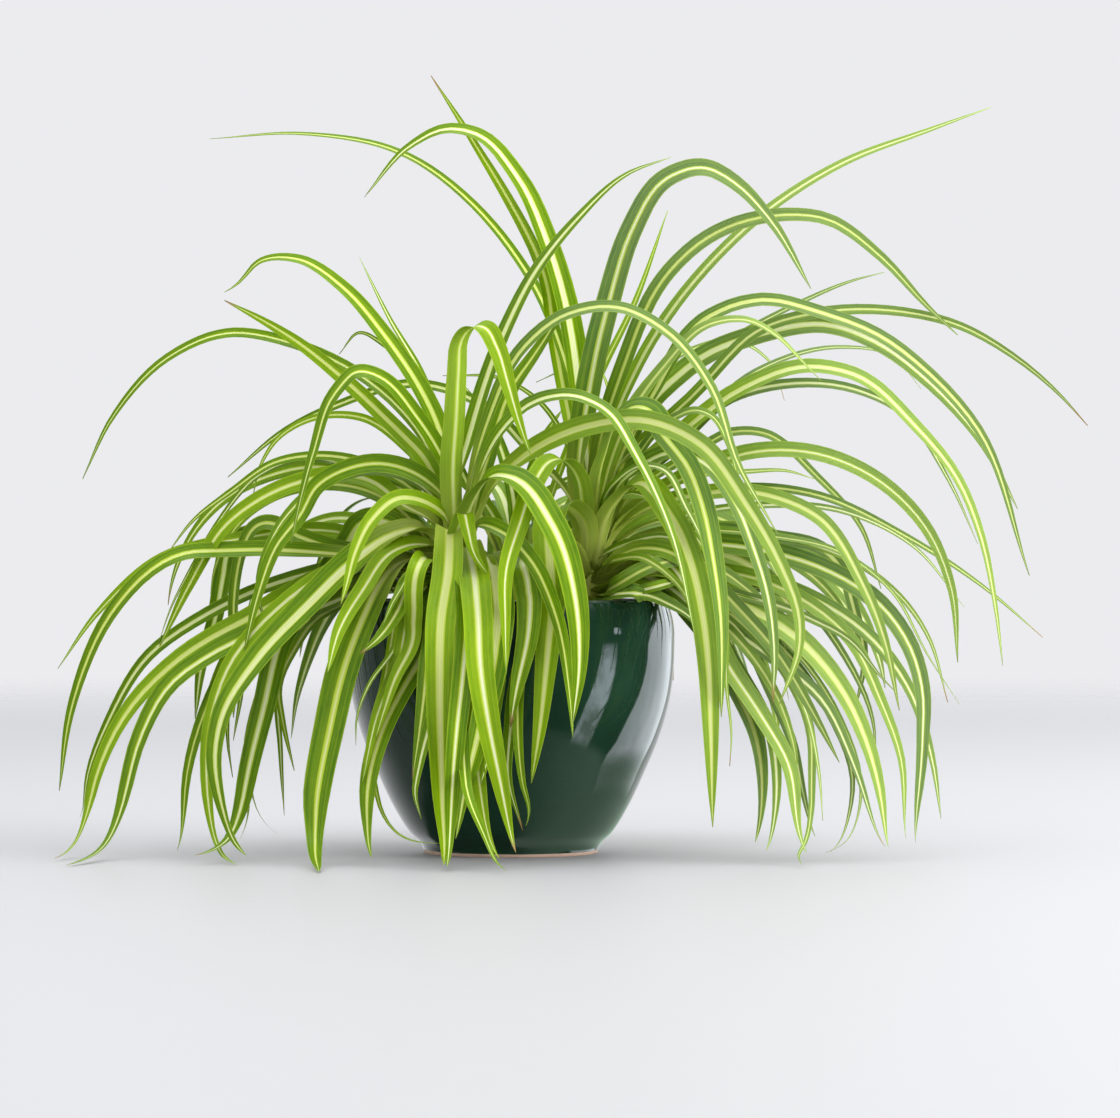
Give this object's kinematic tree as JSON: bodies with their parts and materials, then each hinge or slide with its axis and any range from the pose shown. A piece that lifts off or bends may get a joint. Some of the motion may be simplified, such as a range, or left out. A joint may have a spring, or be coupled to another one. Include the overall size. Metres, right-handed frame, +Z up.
{
  "type": "potted spider plant",
  "caption": "Spider plant with long arching leaves, green with a cream stripe, in a round glazed pot that stands on a flat foot.",
  "frame": {"origin": "centre of the pot's flat foot, on the surface it stands on", "axes": "+Z up along the pot's axis, +X to the right and -Y towards a viewer who stands where the picture was taken"},
  "size_m": [0.624, 0.4681, 0.4716],
  "materials": {
    "glaze": "deep green gloss glaze, bare foot ring",
    "soil": "matte, loose potting mix",
    "leaf": "satin leaf with a cream stripe along its middle"
  },
  "bodies": {
    "root": {"pot": "glaze", "soil": "soil", "crown_left": "leaf", "crown_right": "leaf", "crown_back": "leaf"}
  },
  "joints": []
}
